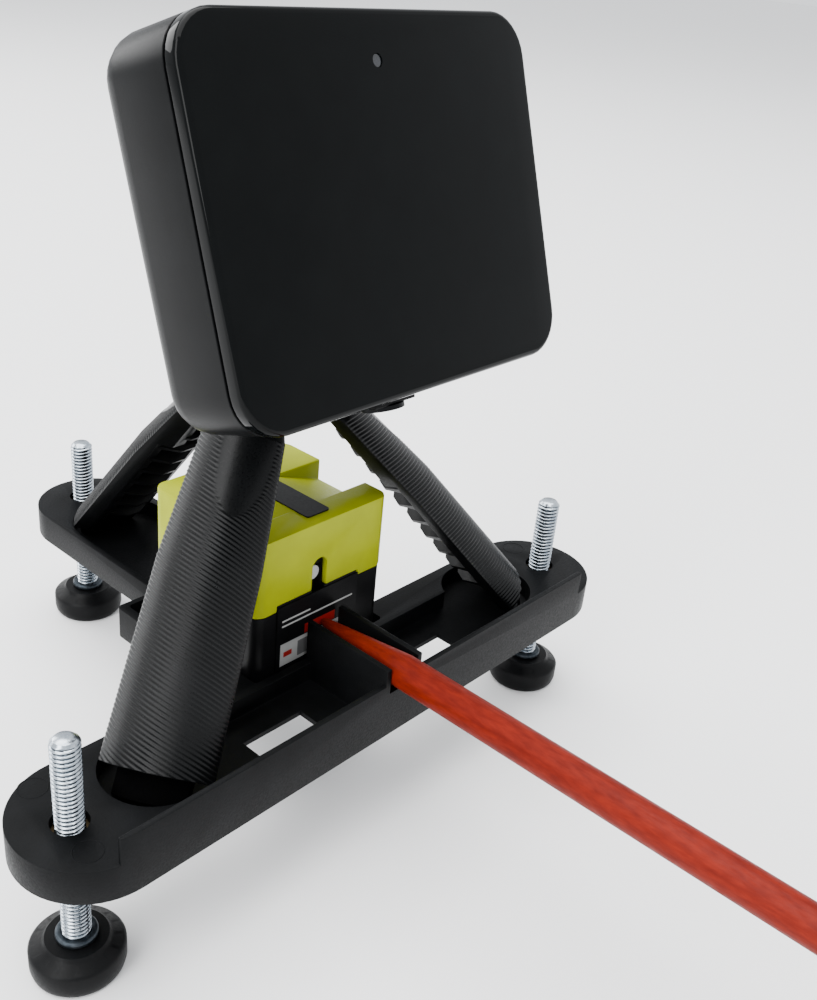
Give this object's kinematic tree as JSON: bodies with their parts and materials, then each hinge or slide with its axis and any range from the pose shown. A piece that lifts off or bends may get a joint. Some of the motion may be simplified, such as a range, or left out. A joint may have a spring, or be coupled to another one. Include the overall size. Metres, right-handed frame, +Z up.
{
  "type": "launch monitor",
  "caption": "Radar launch monitor head on a folding tripod, seated in a T-shaped alignment base with levelling screws, a laser level cube and an alignment rod.",
  "frame": {"origin": "on the floor, under the middle of the back levelling foot", "axes": "+Z up, -Y along the alignment rod and the way the head looks, X along the base's front bar"},
  "size_m": [0.1728, 0.3256, 0.1796],
  "materials": {
    "base_plastic": "fine-textured black moulded plastic",
    "brass": "machined",
    "zinc_steel": "bright zinc plating",
    "pad_rubber": "satin black",
    "tripod_plastic": "satin black with fine cross ridges on the legs",
    "tip_rubber": "matt",
    "pin_steel": "turned",
    "gloss_black": "mirror gloss",
    "satin_black": "fine satin texture",
    "smoked_lens": "smoked",
    "board_green": "solder mask",
    "battery_wrap": "wrapped cell",
    "laser_black": "satin",
    "lime": "satin lime green",
    "lens_silver": "bright",
    "label_white": "printed film, no lettering",
    "plate_grey": "blank plate",
    "rod_orange": "orange-red coated rod with faint grain"
  },
  "bodies": {
    "base": {"base_frame": "base_plastic", "insert_1": "brass", "insert_2": "brass", "insert_3": "brass", "laser_body": "laser_black", "laser_bumper": "lime", "laser_back": "laser_black", "laser_lens": "lens_silver", "laser_label": "label_white", "laser_nameplate": "plate_grey", "battery_door": "laser_black"},
    "level_1": {"stud_1": "zinc_steel", "flange_1": "zinc_steel"},
    "level_2": {"stud_2": "zinc_steel", "flange_2": "zinc_steel"},
    "level_3": {"stud_3": "zinc_steel", "flange_3": "zinc_steel"},
    "pad_1": {"foot_pad_1": "pad_rubber"},
    "pad_2": {"foot_pad_2": "pad_rubber"},
    "pad_3": {"foot_pad_3": "pad_rubber"},
    "tripod": {"tripod_hub": "tripod_plastic", "hub_cap": "tripod_plastic", "leg_pin_1": "pin_steel", "leg_pin_2": "pin_steel", "leg_pin_3": "pin_steel", "tilt_pin": "pin_steel", "tilt_knob": "tripod_plastic"},
    "leg_a": {"leg_1": "tripod_plastic", "leg_tip_1": "tip_rubber"},
    "leg_b": {"leg_2": "tripod_plastic", "leg_tip_2": "tip_rubber"},
    "leg_c": {"leg_3": "tripod_plastic", "leg_tip_3": "tip_rubber"},
    "head": {"tilt_plate": "tripod_plastic", "mount_screw": "pin_steel", "mount_insert": "brass", "front_cover": "gloss_black", "light_gasket": "tip_rubber", "rear_housing": "satin_black", "housing_screws": "pin_steel", "status_light": "smoked_lens", "antenna_board": "board_green", "main_board": "board_green", "battery_pack": "battery_wrap", "usb_socket": "pin_steel"},
    "flap": {"usb_flap": "satin_black"},
    "button": {"power_button": "satin_black"},
    "switch": {"laser_switch": "lime"},
    "rod": {"alignment_rod": "rod_orange"}
  },
  "joints": [
    {"name": "level_1_height", "type": "slide", "parent": "base", "child": "level_1", "axis": [0, 0, 1], "range_m": [-0.016, 0.02]},
    {"name": "level_2_height", "type": "slide", "parent": "base", "child": "level_2", "axis": [0, 0, 1], "range_m": [-0.016, 0.02]},
    {"name": "level_3_height", "type": "slide", "parent": "base", "child": "level_3", "axis": [0, 0, 1], "range_m": [-0.016, 0.02]},
    {"name": "pad_1_swivel", "type": "hinge", "parent": "level_1", "child": "pad_1", "pos_m": [-0.075, -0.11, 0.004], "axis": [0, 0, 1], "continuous": true},
    {"name": "pad_2_swivel", "type": "hinge", "parent": "level_2", "child": "pad_2", "pos_m": [0.075, -0.11, 0.004], "axis": [0, 0, 1], "continuous": true},
    {"name": "pad_3_swivel", "type": "hinge", "parent": "level_3", "child": "pad_3", "pos_m": [0, 0, 0.004], "axis": [0, 0, 1], "continuous": true},
    {"name": "tripod_lift", "type": "slide", "parent": "base", "child": "tripod", "axis": [0, 0, 1], "range_m": [0, 0.13]},
    {"name": "leg_a_fold", "type": "hinge", "parent": "tripod", "child": "leg_a", "pos_m": [-0.00693, -0.082, 0.1049], "axis": [0.5, -0.866, 0], "range_deg": [0, 39]},
    {"name": "leg_b_fold", "type": "hinge", "parent": "tripod", "child": "leg_b", "pos_m": [0.00693, -0.082, 0.1049], "axis": [0.5, 0.866, 0], "range_deg": [0, 39]},
    {"name": "leg_c_fold", "type": "hinge", "parent": "tripod", "child": "leg_c", "pos_m": [0, -0.07, 0.1049], "axis": [-1, 0, 0], "range_deg": [0, 39]},
    {"name": "head_tilt", "type": "hinge", "parent": "tripod", "child": "head", "pos_m": [0, -0.094, 0.101], "axis": [1, 0, 0], "range_deg": [-12, 20]},
    {"name": "port_flap", "type": "hinge", "parent": "head", "child": "flap", "pos_m": [0.0437, -0.10584, 0.12996], "axis": [0, 0.9478, -0.319], "range_deg": [0, 95]},
    {"name": "power_press", "type": "slide", "parent": "head", "child": "button", "axis": [-1, 0, 0], "range_m": [0, 0.0005], "stiffness_N_per_m": 1500, "springref_m": -0.0005},
    {"name": "laser_switch_slide", "type": "slide", "parent": "base", "child": "switch", "axis": [1, 0, 0], "range_m": [0, 0.003]},
    {"name": "rod_slide", "type": "slide", "parent": "base", "child": "rod", "axis": [0, -1, 0], "range_m": [0, 0.02]}
  ],
  "couplings": [
    {"joint": "leg_a_fold", "follows": "tripod_lift", "rad_per_m": 5.1017},
    {"joint": "leg_b_fold", "follows": "tripod_lift", "rad_per_m": 5.1017},
    {"joint": "leg_c_fold", "follows": "tripod_lift", "rad_per_m": 5.1017}
  ]
}
